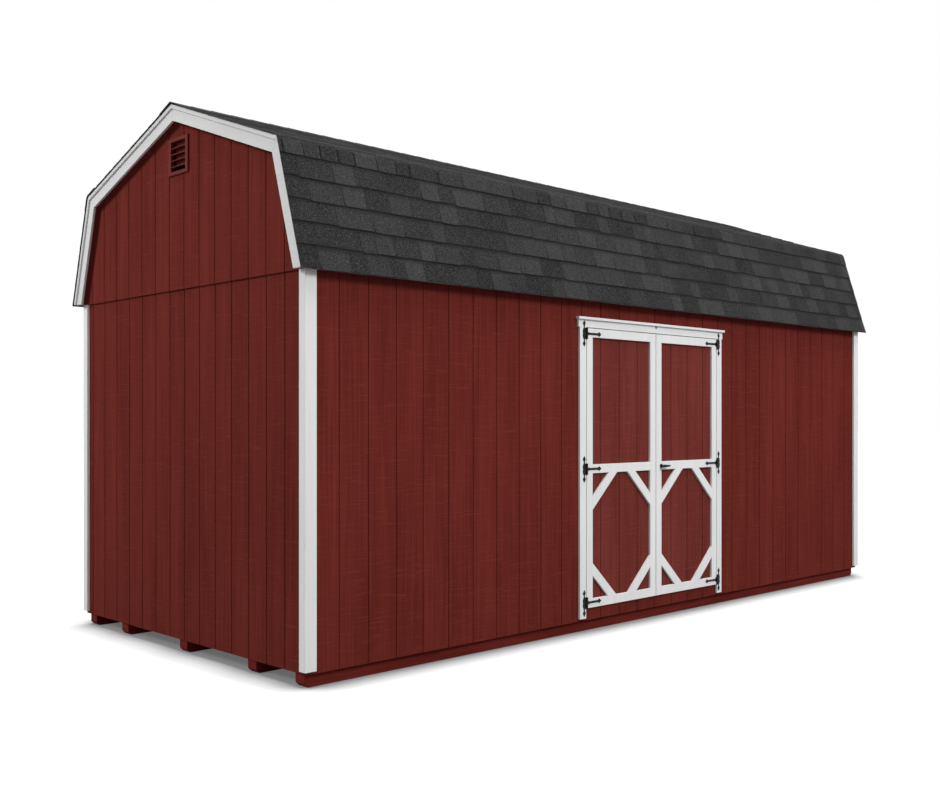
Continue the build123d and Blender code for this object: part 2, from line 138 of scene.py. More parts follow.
floor_radius = 120
floor_grey = 0.2
floor_glow = 1
shade_reach = 0.32
shade_light = 0.12
shade_open = (0.5, 0.97)
floor_form = bmesh.new()
bmesh.ops.create_circle(floor_form, cap_ends=True, segments=64, radius=floor_radius)
floor_mesh = bpy.data.meshes.new("floor")
floor_form.to_mesh(floor_mesh)
floor_form.free()
floor = bpy.data.objects.new("floor", floor_mesh)
scene.collection.objects.link(floor)
floor_finish = bpy.data.materials.new("white_floor")
floor_finish.use_nodes = True
floor_tree = floor_finish.node_tree
floor_tree.nodes.clear()
floor_matt = add(
    floor_tree, "ShaderNodeBsdfDiffuse", {"Color": (floor_grey, floor_grey, floor_grey, 1)},
)
open_sky = add(
    floor_tree, "ShaderNodeAmbientOcclusion", {"Distance": shade_reach}, samples=16,
)
shade = add(
    floor_tree, "ShaderNodeMapRange",
    {
        "Value": open_sky.outputs["AO"],
        "From Min": shade_open[0], "From Max": shade_open[1],
        "To Min": shade_light, "To Max": floor_glow,
    },
)
floor_lift = add(
    floor_tree, "ShaderNodeEmission",
    {"Color": (1, 1, 1, 1), "Strength": shade.outputs[0]},
)
floor_both = add(
    floor_tree, "ShaderNodeAddShader", {0: floor_matt.outputs[0], 1: floor_lift.outputs[0]},
)
floor_mixed = add(
    floor_tree, "ShaderNodeMixShader",
    {0: seen_directly(floor_tree), 1: floor_matt.outputs[0], 2: floor_both.outputs[0]},
)
add(floor_tree, "ShaderNodeOutputMaterial", {"Surface": floor_mixed.outputs[0]})
floor_mesh.materials.append(floor_finish)


# Skids: five rough-sawn treated timbers along the barn, painted with the siding
# They lie on the ground, and their ends are cut back at the bottom to be dragged.
def merged(node):
    """A CAD node's shape with its triangles joined into whole faces."""
    form = bmesh.new()
    form.from_mesh(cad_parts[node].data)
    bmesh.ops.remove_doubles(form, verts=form.verts, dist=2e-5)
    bmesh.ops.dissolve_limit(
        form, angle_limit=math.radians(1), verts=form.verts, edges=form.edges,
    )
    return form


def piece(name, form, finish, body, slot, *nodes):
    """Make a form a piece of one finish that rides on a body in place of CAD nodes."""
    mesh = bpy.data.meshes.new(name)
    form.to_mesh(mesh)
    form.free()
    return mounted(name, mesh, finish, body, slot, *nodes)


def mounted(name, mesh, finish, body, slot, *nodes):
    """Put a finished mesh on a body in place of CAD nodes."""
    mesh.materials.clear()
    mesh.materials.append(finish)
    made = bpy.data.objects.new(name, mesh)
    scene.collection.objects.link(made)
    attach(made, body)
    if nodes:
        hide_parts(*nodes)
    return made


def eased(made, radius):
    """Round a piece's sharp edges, as sandpaper or a mill leaves them."""
    edge = made.modifiers.new("eased_edges", "BEVEL")
    edge.width = radius
    edge.segments = 2
    edge.limit_method = "ANGLE"
    edge.angle_limit = math.radians(35)
    return made


def streaks(tree, along, fine, long):
    """A noise stretched along a piece's boards, by fine and long cycles a metre."""
    place = add(tree, "ShaderNodeTexCoord")
    stretch = [fine, fine, fine]
    stretch["xyz".index(along)] = long
    lined = add(
        tree, "ShaderNodeMapping",
        {"Vector": place.outputs["Object"], "Scale": stretch},
    )
    return add(
        tree, "ShaderNodeTexNoise",
        {"Vector": lined.outputs[0], "Scale": 1, "Detail": 5, "Roughness": 0.6},
    )


grain_range = (0.7, 1.3)
grain_strength = 0.7


def new_finish(name, roughness, gloss):
    """An opaque finish with no pattern yet, and its tree and shader."""
    finish = bpy.data.materials.new(name)
    finish.use_nodes = True
    shader = finish.node_tree.nodes["Principled BSDF"]
    shader.inputs["Roughness"].default_value = roughness
    shader.inputs["Specular IOR Level"].default_value = gloss
    return finish, finish.node_tree, shader


def grained_tone(tree, grain, cloud, deep, pale):
    """A colour between two tones, by fine grain and broad cloud together."""
    both = add(
        tree, "ShaderNodeMath",
        {0: grain.outputs[0], 1: cloud.outputs[0]}, operation="ADD",
    )
    share = add(
        tree, "ShaderNodeMapRange",
        {"Value": both.outputs[0], "From Min": grain_range[0], "From Max": grain_range[1]},
    )
    return add(
        tree, "ShaderNodeMix", {"Factor": share.outputs[0], 6: deep, 7: pale},
        data_type="RGBA",
    ).outputs[2]


def roughen(tree, shader, height, strength, relief):
    """Let a pattern's height roughen a finish by a relief in metres."""
    rough = add(
        tree, "ShaderNodeBump", {"Height": height, "Strength": strength, "Distance": relief},
    )
    tree.links.new(rough.outputs[0], shader.inputs["Normal"])


wood_gloss = 0.06
board_cloud = (2.2, 0.7)


def wood_finish(name, pale, deep, along, roughness, fine, long, relief):
    """Wood of two close tones with its grain along one axis, painted or bare."""
    finish, tree, shader = new_finish(name, roughness, wood_gloss)
    grain = streaks(tree, along, fine, long)
    cloud = streaks(tree, along, *board_cloud)
    tone = grained_tone(tree, grain, cloud, deep, pale)
    tree.links.new(tone, shader.inputs["Base Color"])
    roughen(tree, shader, grain.outputs[0], grain_strength, relief)
    return finish


skid_easing = 0.004
skid_red = wood_finish(
    "skid_red", paint(114, 40, 34), paint(80, 24, 19), "x", 0.8, 60, 2.5, 0.0015,
)
sawn_skids = piece(
    "sawn_skids", merged("skids"), skid_red, "barn", "treated_timber", "skids",
)
eased(sawn_skids, skid_easing)


# Floor: softwood rims and joists nailed up on the skids, under a deck of plywood sheets
# The sheets lie across the joists with a small gap between them.
def dressed(finish, *nodes):
    """Give CAD nodes a finish as they are."""
    for node in nodes:
        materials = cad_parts[node].data.materials
        materials.clear()
        materials.append(finish)


def softwood(along):
    """Bare framing softwood with its grain along one axis."""
    return wood_finish(
        f"softwood_{along}", paint(208, 176, 128), paint(178, 140, 94), along,
        0.7, 70, 2.0, 0.0005,
    )


softwood_long = softwood("x")
softwood_across = softwood("y")
softwood_upright = softwood("z")
dressed(softwood_long, "floor_rims")
dressed(softwood_across, "floor_joists")


def slab(form, low, high):
    """Add a block between two corners to a form."""
    low, high = Vector(low), Vector(high)
    size = high - low
    placed = Matrix.Translation((low + high) / 2) @ Matrix.Diagonal((*size, 1))
    bmesh.ops.create_cube(form, size=1, matrix=placed)


sheet_long = 1.2192
sheet_gap = 0.002
deck_low, deck_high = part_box("floor_deck")
deck_form = bmesh.new()
sheet_start = deck_low.x
while sheet_start < deck_high.x - sheet_gap:
    sheet_end = min(sheet_start + sheet_long - sheet_gap, deck_high.x)
    slab(deck_form, (sheet_start, deck_low.y, deck_low.z), (sheet_end, deck_high.y, deck_high.z))
    sheet_start += sheet_long
plywood = wood_finish(
    "plywood", paint(206, 172, 124), paint(176, 136, 92), "y", 0.65, 26, 1.1, 0.0003,
)
piece("deck_sheets", deck_form, plywood, "barn", "plywood", "floor_deck")


# Wall frame: softwood plates, studs and a doubled header beam over the doorway
# It is nailed together and stays bare inside.
dressed(softwood_long, "wall_plates", "door_header_beam")
dressed(softwood_upright, "wall_studs")


# Siding: wooden panels with upright grooves eight inches apart, painted barn red
# The panels are nailed to the studs, and the gable panels lap over the end walls.
groove_pitch = 0.2032
groove_wide = 0.0095
groove_side = 0.0015
groove_deep = 0.0045
long_wall_groove = 0.001
end_wall_groove = -0.0419
gable_groove = -0.059
cut_margin = 0.02
saw_reach = 4
siding_gloss = 0.02
siding_grain = (62, 1.4)
siding_cloud = (5, 0.5)
saw_marks = (7, 7, 150)
siding_relief = 0.001
# Where the saw marks rise, the red is painted lighter: a painted highlight.
saw_highlight_range = (0.56, 0.78)


def finished_mesh(made):
    """The mesh that an object's modifiers leave, as a plain mesh."""
    shaped = made.evaluated_get(bpy.context.evaluated_depsgraph_get())
    return bpy.data.meshes.new_from_object(shaped)


def loose(name, form):
    """A form as an object of the scene that is no piece yet."""
    mesh = bpy.data.meshes.new(name)
    form.to_mesh(mesh)
    form.free()
    made = bpy.data.objects.new(name, mesh)
    scene.collection.objects.link(made)
    return made


def grooved_sheet(node, along, first_groove):
    """A grooved sheet a little larger than a CAD node, with its face where the node's is."""
    low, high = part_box(node)
    run = "xy".index(along)
    through = 1 - run
    outward = 1 if low[through] + high[through] > 0 else -1
    face, back = (high, low) if outward > 0 else (low, high)
    start = low[run] - cut_margin
    end = high[run] + cut_margin
    section = [(start, face[through])]
    place = first_groove + groove_pitch * math.ceil((start - first_groove) / groove_pitch)
    while place < end:
        if start + groove_wide < place < end - groove_wide:
            floor_half = groove_wide / 2 - groove_side
            for offset, drop in (
                (-groove_wide / 2, 0), (-floor_half, groove_deep),
                (floor_half, groove_deep), (groove_wide / 2, 0),
            ):
                section.append((place + offset, face[through] - outward * drop))
        place += groove_pitch
    section += [(end, face[through]), (end, back[through]), (start, back[through])]
    form = bmesh.new()
    corners = []
    for at, depth in section:
        spot = Vector((0, 0, low.z - cut_margin))
        spot[run] = at
        spot[through] = depth
        corners.append(form.verts.new(spot))
    foot = form.faces.new(corners)
    risen = bmesh.ops.extrude_face_region(form, geom=[foot])
    top = [part for part in risen["geom"] if isinstance(part, bmesh.types.BMVert)]
    rise = high.z - low.z + 2 * cut_margin
    bmesh.ops.translate(form, verts=top, vec=(0, 0, rise))
    bmesh.ops.recalc_face_normals(form, faces=form.faces)
    return form


def grooved(name, node, along, first_groove, finish, body):
    """Siding sawn from a grooved sheet to the outline of its CAD node."""
    low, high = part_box(node)
    through = 1 - "xy".index(along)
    middle = (low[through] + high[through]) / 2
    outline = merged(node)
    for corner in outline.verts:
        corner.co[through] = middle + (corner.co[through] - middle) * saw_reach
    sheet = loose(f"{name}_sheet", grooved_sheet(node, along, first_groove))
    saw = loose(f"{name}_saw", outline)
    cut = sheet.modifiers.new("sawn", "BOOLEAN")
    cut.operation = "INTERSECT"
    cut.solver = "EXACT"
    cut.object = saw
    mesh = finished_mesh(sheet)
    bpy.data.objects.remove(sheet)
    bpy.data.objects.remove(saw)
    mesh.name = name
    return mounted(name, mesh, finish, body, "red_siding", node)


def siding_paint(name, deep, pale, saw_highlight_tone):
    """Barn red on rough-sawn wood: upright grain, with faint saw marks across it whose raised
    bits are painted lighter, a painted highlight.
    """
    finish, tree, shader = new_finish(name, 0.85, siding_gloss)
    grain = streaks(tree, "z", *siding_grain)
    cloud = streaks(tree, "z", *siding_cloud)
    place = add(tree, "ShaderNodeTexCoord")
    level = add(
        tree, "ShaderNodeMapping", {"Vector": place.outputs["Object"], "Scale": saw_marks},
    )
    marks = add(
        tree, "ShaderNodeTexNoise",
        {"Vector": level.outputs[0], "Scale": 1, "Detail": 3, "Roughness": 0.5},
    )
    # The saw marks' raised bits get a lighter red: a painted highlight, not wear.
    saw_highlight = add(
        tree, "ShaderNodeMapRange",
        {
            "Value": marks.outputs[0],
            "From Min": saw_highlight_range[0], "From Max": saw_highlight_range[1],
        },
    )
    tone = grained_tone(tree, grain, cloud, deep, pale)
    highlighted = add(
        tree, "ShaderNodeMix", {"Factor": saw_highlight.outputs[0], 6: tone, 7: saw_highlight_tone},
        data_type="RGBA",
    )
    tree.links.new(highlighted.outputs[2], shader.inputs["Base Color"])
    relief = add(
        tree, "ShaderNodeMath",
        {0: marks.outputs[0], 1: 0.5, 2: grain.outputs[0]}, operation="MULTIPLY_ADD",
    )
    roughen(tree, shader, relief.outputs[0], grain_strength, siding_relief)
    return finish


siding_red = siding_paint(
    "barn_red_siding", paint(86, 31, 26), paint(110, 44, 38), paint(114, 48, 42),
)
for wall_part in (
    "front_siding_left", "front_siding_right", "front_siding_over_door",
    "front_siding_below_door", "rear_siding",
):
    grooved(f"{wall_part}_panels", wall_part, "x", long_wall_groove, siding_red, "barn")
for side in ("left", "right"):
    for wall_part, first_groove in (
        (f"{side}_wall_siding", end_wall_groove), (f"{side}_gable_siding", gable_groove),
    ):
        grooved(f"{wall_part}_panels", wall_part, "y", first_groove, siding_red, "barn")


# Siding nails: painted heads beside every third groove, where the studs stand behind
# They are driven a foot apart and left a little proud.
def pattern(name, sockets):
    """An empty node tree with named inputs, and the sockets that hold them."""
    tree = bpy.data.node_groups.new(name, "GeometryNodeTree")
    tree.interface.new_socket("Mesh", in_out="OUTPUT", socket_type="NodeSocketGeometry")
    for label, kind in sockets.items():
        tree.interface.new_socket(label, in_out="INPUT", socket_type=f"NodeSocket{kind}")
    return tree, add(tree, "NodeGroupInput").outputs


def grown(name, tree, values):
    """Run a pattern with its named inputs set, and return its plain mesh."""
    holder = bpy.data.objects.new(name, bpy.data.meshes.new(name))
    scene.collection.objects.link(holder)
    growth = holder.modifiers.new("pattern", "NODES")
    growth.node_group = tree
    for item in tree.interface.items_tree:
        if item.name in values:
            growth[item.identifier] = values[item.name]
    mesh = finished_mesh(holder)
    bpy.data.objects.remove(holder)
    return mesh


def fastener_rows():
    """Heads of nails or screws in rows and columns over a face."""
    tree, given = pattern("fastener_rows", {
        "Head": "Object", "Finish": "Material", "Corner": "Vector", "Across": "Vector",
        "Columns": "Int", "Up": "Vector", "Rows": "Int", "Turn": "Vector",
    })
    count = add(
        tree, "ShaderNodeMath", {0: given["Columns"], 1: given["Rows"]},
        operation="MULTIPLY",
    )
    spots = add(tree, "GeometryNodeMeshLine", {"Count": count.outputs[0]})
    number = add(tree, "GeometryNodeInputIndex").outputs[0]
    row = add(
        tree, "ShaderNodeMath", {0: number, 1: given["Columns"]}, operation="DIVIDE",
    )
    whole_row = add(tree, "ShaderNodeMath", {0: row.outputs[0]}, operation="FLOOR")
    column = add(
        tree, "ShaderNodeMath", {0: number, 1: given["Columns"]}, operation="MODULO",
    )
    across = add(
        tree, "ShaderNodeVectorMath",
        {"Vector": given["Across"], "Scale": column.outputs[0]}, operation="SCALE",
    )
    up = add(
        tree, "ShaderNodeVectorMath",
        {"Vector": given["Up"], "Scale": whole_row.outputs[0]}, operation="SCALE",
    )
    moved = add(
        tree, "ShaderNodeVectorMath", {0: across.outputs[0], 1: up.outputs[0]},
        operation="ADD",
    )
    place = add(
        tree, "ShaderNodeVectorMath", {0: given["Corner"], 1: moved.outputs[0]},
        operation="ADD",
    )
    laid = add(
        tree, "GeometryNodeSetPosition",
        {"Geometry": spots.outputs[0], "Position": place.outputs[0]},
    )
    head = add(tree, "GeometryNodeObjectInfo", {"Object": given["Head"]})
    heads = add(
        tree, "GeometryNodeInstanceOnPoints",
        {
            "Points": laid.outputs[0], "Instance": head.outputs["Geometry"],
            "Rotation": given["Turn"],
        },
    )
    real = add(tree, "GeometryNodeRealizeInstances", {"Geometry": heads.outputs[0]})
    coated = add(
        tree, "GeometryNodeSetMaterial",
        {"Geometry": real.outputs[0], "Material": given["Finish"]},
    )
    add(tree, "NodeGroupOutput", {0: coated.outputs[0]})
    return tree


def domed_head(name, radius, rise, sides):
    """The domed head of a nail or screw, sunk a little into what it holds."""
    form = bmesh.new()
    rings = ((1, -rise), (1, 0.2 * rise), (0.72, 0.8 * rise), (0.3, rise))
    last = None
    for share, height in rings:
        ring = []
        for side in range(sides):
            turn = math.tau * side / sides
            spot = (share * radius * math.cos(turn), share * radius * math.sin(turn), height)
            ring.append(form.verts.new(spot))
        if last:
            for side in range(sides):
                after = (side + 1) % sides
                form.faces.new((last[side], last[after], ring[after], ring[side]))
        else:
            form.faces.new(ring)
        last = ring
    form.faces.new(last)
    bmesh.ops.recalc_face_normals(form, faces=form.faces)
    return loose(name, form)


def joined(meshes):
    """Several plain meshes as one form."""
    form = bmesh.new()
    for mesh in meshes:
        form.from_mesh(mesh)
    return form


nail_radius = 0.0036
nail_rise = 0.0009
nail_from_groove = 0.014
nail_lowest = 0.14
nail_apart = 0.3048
nail_rows = 8
stud_apart = 3 * groove_pitch
fastener_pattern = fastener_rows()
nail_head = domed_head("nail_head", nail_radius, nail_rise, 8)


def nailed(node, along, side, first, columns):
    """Columns of nails over a wall on its side (-1 or 1), from a first groove at a stud."""
    low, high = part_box(node)
    run = "xy".index(along)
    through = 1 - run
    corner = Vector((0, 0, nail_lowest))
    corner[run] = first + nail_from_groove
    corner[through] = high[through] if side > 0 else low[through]
    across = Vector((0, 0, 0))
    across[run] = stud_apart
    quarter = math.pi / 2
    turn = (-side * quarter, 0, 0) if along == "x" else (0, side * quarter, 0)
    return grown(f"{node}_nails", fastener_pattern, {
        "Head": nail_head, "Finish": siding_red, "Corner": corner, "Across": across,
        "Columns": columns, "Up": (0, 0, nail_apart), "Rows": nail_rows, "Turn": turn,
    })


end_wall_first = end_wall_groove - 2 * stud_apart
siding_nails = [
    nailed("front_siding_left", "x", -1, -4 * stud_apart, 3),
    nailed("front_siding_right", "x", -1, 2 * stud_apart, 3),
    nailed("rear_siding", "x", 1, -4 * stud_apart, 9),
    nailed("left_wall_siding", "y", -1, end_wall_first, 5),
    nailed("right_wall_siding", "y", 1, end_wall_first, 5),
]
piece("siding_nails", joined(siding_nails), siding_red, "barn", "red_siding")
bpy.data.objects.remove(nail_head)


# Roof frames: softwood rafters with plywood gussets nailed over their joints
# Strand board panels lie on the rafters and carry the shingles.
flakes_a_metre = 28


def strand_board():
    """Strand board: pale flakes of wood pressed flat in all directions."""
    finish, tree, shader = new_finish("strand_board", 0.75, 0.5)
    place = add(tree, "ShaderNodeTexCoord")
    flakes = add(
        tree, "ShaderNodeTexVoronoi",
        {"Vector": place.outputs["Object"], "Scale": flakes_a_metre},
    )
    split = add(tree, "ShaderNodeSeparateColor", {0: flakes.outputs["Color"]})
    tone = add(
        tree, "ShaderNodeMix",
        {"Factor": split.outputs[0], 6: paint(172, 132, 84), 7: paint(214, 180, 128)},
        data_type="RGBA",
    )
    tree.links.new(tone.outputs[2], shader.inputs["Base Color"])
    return finish


dressed(softwood_upright, "lower_rafters")
dressed(softwood_across, "upper_rafters")
dressed(plywood, "rafter_gussets")
dressed(strand_board(), "roof_sheathing")


# Shingles: laminated asphalt shingles with charcoal granules, nailed in level courses
# Each course is a thin layer with thicker tabs of random width glued on it, which end
# unevenly, and the top course of each steep slope is bent over the break of the roof.
shingle_layer = 0.008
course_exposure = 0.143
tab_long = 0.245
tab_narrow = 0.1
tab_wide = 0.26
tab_joint = 0.0015
tab_lap = 0.008
tab_taper = 0.022
tab_raggedness = 0.01
top_raggedness = 0.005
bare_share = 0.4
thin_height = 0.62
starter_height = 0.37
bent_height = 0.88
butt_drop = 0.005
under_lift = 0.003
under_slope = 0.0115
under_least = 0.0002
lapped_lift = 0.003
lapped_slope = 0.0175
bend_radius = 0.044
bend_steps = 9
past_bend = 0.006
short_tab_long = 0.195
sliver = 0.004
layer_rise = (0.6, 1.3)
tab_rise = (0, 0.6)
tab_thinnest = 0.92
# The thin layer's tones are darker than the tabs': partly the darker backer of laminated
# shingles, partly painted shade in the recesses between the tabs.
layer_tones = (0, 0.35)
tab_tones = (0.3, 1)

eave_corner, lower_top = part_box("front_lower_roof")
knee_corner, upper_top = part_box("front_upper_roof")
roof_end = lower_top.x
eave = Vector((-eave_corner.y, eave_corner.z))
knee = Vector((-knee_corner.y, lower_top.z))
peak = Vector((0, upper_top.z))
steep_angle = math.atan2(knee.y - eave.y, eave.x - knee.x)
upper_angle = math.atan2(peak.y - knee.y, knee.x)
steep_long = (knee - eave).length
upper_long = (peak - knee).length
steep_courses = int(steep_long // course_exposure)
bent_start = steep_courses * course_exposure
bend_turn = steep_angle - upper_angle
bent_reach = steep_long - bent_start - shingle_layer * math.tan(bend_turn / 2)
upper_start = course_exposure - (steep_long - bent_start)


def tab_height(along, level_to):
    """The under and upper side of a tab above the sheathing, at a distance up its slope."""
    under = max(under_lift - under_slope * along, under_least)
    if along <= level_to:
        return under, shingle_layer
    if along <= course_exposure:
        shown = course_exposure - level_to
        return under, shingle_layer - butt_drop * (along - level_to) / shown
    return under, lapped_lift - lapped_slope * (along - course_exposure)


def bent_spot(along, height, reach):
    """A spot on a tab that is bent down at a reach, by its distance up the slope."""
    curve_start = reach - bend_radius * math.tan(bend_turn / 2)
    turned = min(max((along - curve_start) / bend_radius, 0), bend_turn)
    straight = max(along - curve_start - bend_radius * bend_turn, 0)
    forward = min(along, curve_start) + bend_radius * math.sin(turned)
    drop = bend_radius * (1 - math.cos(turned))
    forward += straight * math.cos(turned)
    drop += straight * math.sin(turned)
    return (forward + height * math.sin(turned), height * math.cos(turned) - drop)


def shingle_tab(name, stops, reach, level_to, taper):
    """A tab one metre wide, which the pattern narrows, through stops up its slope.

    Its corners hold how far up they lie, and its faces whether they are cut edges.
    """
    form = bmesh.new()
    climb = form.verts.layers.float.new("climb")
    cut = form.faces.layers.float.new("cut")
    sides = []
    for left in (True, False):
        layers = []
        for layer in (0, 1):
            line = []
            for stop in stops:
                inset = taper * max(1 - stop / course_exposure, 0)
                forward, height = bent_spot(stop, tab_height(stop, level_to)[layer], reach)
                across = inset if left else 1 - inset
                corner = form.verts.new((across, forward, height))
                corner[climb] = stop
                line.append(corner)
            layers.append(line)
        sides.append(layers)
    (left_under, left_upper), (right_under, right_upper) = sides
    for step in range(len(stops) - 1):
        after = step + 1
        form.faces.new((
            left_upper[step], right_upper[step], right_upper[after], left_upper[after],
        ))
        form.faces.new((
            left_under[step], left_under[after], right_under[after], right_under[step],
        ))
        for under, upper in sides:
            edge = form.faces.new((under[step], under[after], upper[after], upper[step]))
            edge[cut] = 1
    for step in (0, -1):
        edge = form.faces.new((
            left_under[step], right_under[step], right_upper[step], left_upper[step],
        ))
        edge[cut] = 1
    bmesh.ops.recalc_face_normals(form, faces=form.faces)
    return loose(name, form)


def shingle_courses():
    """Courses of tabs: random widths added up along each course, cut at the roof's ends."""
    tree, given = pattern("shingle_courses", {
        "Tab": "Object", "Layer": "Object", "Finish": "Material", "Length": "Float",
        "Exposure": "Float", "Courses": "Int", "Tabs": "Int", "Narrow": "Float",
        "Wide": "Float", "Joint": "Float", "Lap": "Float", "Raggedness": "Float",
        "Bare Share": "Float", "Thin Height": "Float", "Turn": "Vector",
        "Foot": "Vector", "Seed": "Int",
    })

    def sum_of(kind, *terms):
        """What a kind of sum makes of its terms."""
        inputs = dict(enumerate(terms))
        return add(tree, "ShaderNodeMath", inputs, operation=kind).outputs[0]

    def random_of(low, high, step, by=None):
        """A random number for each spot, or for each value that it goes by."""
        inputs = {2: low, 3: high, 8: sum_of("ADD", given["Seed"], step)}
        if by is not None:
            inputs[7] = by
        return add(tree, "FunctionNodeRandomValue", inputs, data_type="FLOAT").outputs[1]

    count = sum_of("MULTIPLY", given["Courses"], given["Tabs"])
    spots = add(tree, "GeometryNodeMeshLine", {"Count": count})
    number = add(tree, "GeometryNodeInputIndex").outputs[0]
    course = sum_of("FLOOR", sum_of("DIVIDE", number, given["Tabs"]))
    width = random_of(given["Narrow"], given["Wide"], 0)
    before = add(
        tree, "GeometryNodeAccumulateField", {"Value": width, "Group ID": course},
    ).outputs["Trailing"]
    begin = sum_of("SUBTRACT", before, random_of(0, given["Wide"], 1, course))
    left = sum_of("MAXIMUM", begin, 0)
    right = sum_of("MINIMUM", sum_of("ADD", begin, width), given["Length"])
    shown_width = sum_of("SUBTRACT", right, left)

    def laid(kind, up, start, scale_x, scale_z, chosen, tone):
        """Lay one kind of tab on the chosen spots, from a start along the course."""
        place = add(
            tree, "ShaderNodeCombineXYZ",
            {0: start, 1: sum_of("ADD", sum_of("MULTIPLY", course, given["Exposure"]), up)},
        )
        moved = add(
            tree, "GeometryNodeSetPosition",
            {"Geometry": spots.outputs[0], "Position": place.outputs[0]},
        )
        toned = add(
            tree, "GeometryNodeStoreNamedAttribute",
            {"Geometry": moved.outputs[0], "Name": "tone", "Value": tone},
            data_type="FLOAT", domain="POINT",
        )
        size = add(tree, "ShaderNodeCombineXYZ", {0: scale_x, 1: 1, 2: scale_z})
        shape = add(tree, "GeometryNodeObjectInfo", {"Object": given[kind]})
        return add(
            tree, "GeometryNodeInstanceOnPoints",
            {
                "Points": toned.outputs[0], "Selection": chosen,
                "Instance": shape.outputs["Geometry"], "Scale": size.outputs[0],
            },
        ).outputs[0]

    wide_enough = sum_of("GREATER_THAN", shown_width, sliver)
    lap_left = sum_of("MAXIMUM", sum_of("SUBTRACT", left, given["Lap"]), 0)
    lap_right = sum_of("MINIMUM", sum_of("ADD", right, given["Lap"]), given["Length"])
    layer = laid(
        "Layer", sum_of("MULTIPLY", random_of(*layer_rise, 4), given["Raggedness"]),
        lap_left, sum_of("SUBTRACT", lap_right, lap_left), given["Thin Height"],
        wide_enough, random_of(*layer_tones, 3),
    )
    covered = sum_of("GREATER_THAN", random_of(0, 1, 2), given["Bare Share"])
    tabs = laid(
        "Tab", sum_of("MULTIPLY", random_of(*tab_rise, 5), given["Raggedness"]), left,
        sum_of("SUBTRACT", shown_width, given["Joint"]), random_of(tab_thinnest, 1, 6),
        sum_of("MULTIPLY", wide_enough, covered), random_of(*tab_tones, 7),
    )
    both = add(tree, "GeometryNodeJoinGeometry")
    tree.links.new(layer, both.inputs[0])
    tree.links.new(tabs, both.inputs[0])
    raised = add(
        tree, "GeometryNodeTransform",
        {
            "Geometry": both.outputs[0], "Translation": given["Foot"],
            "Rotation": given["Turn"],
        },
    )
    real = add(tree, "GeometryNodeRealizeInstances", {"Geometry": raised.outputs[0]})
    coated = add(
        tree, "GeometryNodeSetMaterial",
        {"Geometry": real.outputs[0], "Material": given["Finish"]},
    )
    add(tree, "NodeGroupOutput", {0: coated.outputs[0]})
    return tree


granules_a_metre = 170
blotches_a_metre = 30
lap_shade = 0.035
granule_relief = 0.0025


def granules():
    """Charcoal granules with a darker band under each lap, partly the printed shadow band and
    partly painted shade, and cut edges painted a light grey as a painted highlight.
    """
    finish, tree, shader = new_finish("charcoal_shingles", 0.95, 0.1)

    def mixed(share, low, high):
        """A colour between two others."""
        inputs = {"Factor": share, 6: low, 7: high}
        return add(tree, "ShaderNodeMix", inputs, data_type="RGBA").outputs[2]

    def kept(name):
        """A number that the shingle's mesh holds."""
        return add(tree, "ShaderNodeAttribute", attribute_name=name).outputs["Fac"]

    def ranged(value, low, high, start=0, end=1):
        """A value moved from one range to another."""
        inputs = {
            "Value": value, "From Min": low, "From Max": high,
            "To Min": start, "To Max": end,
        }
        return add(tree, "ShaderNodeMapRange", inputs).outputs[0]

    place = add(tree, "ShaderNodeTexCoord").outputs["Object"]
    fine = add(
        tree, "ShaderNodeTexNoise",
        {"Vector": place, "Scale": granules_a_metre, "Detail": 4, "Roughness": 0.75},
    ).outputs[0]
    blotch = add(
        tree, "ShaderNodeTexNoise", {"Vector": place, "Scale": blotches_a_metre, "Detail": 3},
    ).outputs[0]
    tab_tone = mixed(kept("tone"), paint(22, 22, 22), paint(50, 50, 50))
    blotched = mixed(ranged(blotch, 0.4, 0.62, 0, 0.2), tab_tone, paint(34, 34, 35))
    dark = mixed(ranged(fine, 0.5, 0.34, 0, 0.7), blotched, paint(14, 14, 14))
    light = mixed(ranged(fine, 0.52, 0.7, 0, 0.7), dark, paint(104, 104, 104))
    shade_start = course_exposure - lap_shade
    # The band under each lap is darker: partly the shadow band printed on laminated shingles,
    # partly painted shade.
    lap_band_shade = ranged(kept("climb"), shade_start, course_exposure, 0, 0.8)
    shaded = mixed(lap_band_shade, light, paint(20, 20, 20))
    # The cut edges are painted a light grey, not asphalt's dark: a painted highlight on the
    # butts of the tabs.
    edged = mixed(kept("cut"), shaded, paint(74, 74, 74))
    tree.links.new(edged, shader.inputs["Base Color"])
    roughen(tree, shader, fine, 0.8, granule_relief)
    return finish


charcoal = granules()
course_pattern = shingle_courses()
flat_reach = 2 * tab_long
flat_stops = (0, course_exposure, tab_long)
short_stops = (0, course_exposure, short_tab_long)
curve_start = bent_reach - bend_radius * math.tan(bend_turn / 2)
curve_long = bend_radius * bend_turn
bent_stops = [0]
bent_stops += [curve_start + curve_long * step / bend_steps for step in range(bend_steps + 1)]
bent_stops += [curve_start + curve_long + past_bend, tab_long]
tab_forms = {}
for label, stops, reach, level_to in (
    ("flat", flat_stops, flat_reach, 0),
    ("short", short_stops, flat_reach, 0),
    ("bent", bent_stops, bent_reach, curve_start + curve_long),
):
    for taper_label, taper in (("tab", tab_taper), ("layer", 0)):
        name = f"{label}_{taper_label}"
        tab_forms[name] = shingle_tab(name, stops, reach, level_to, taper)


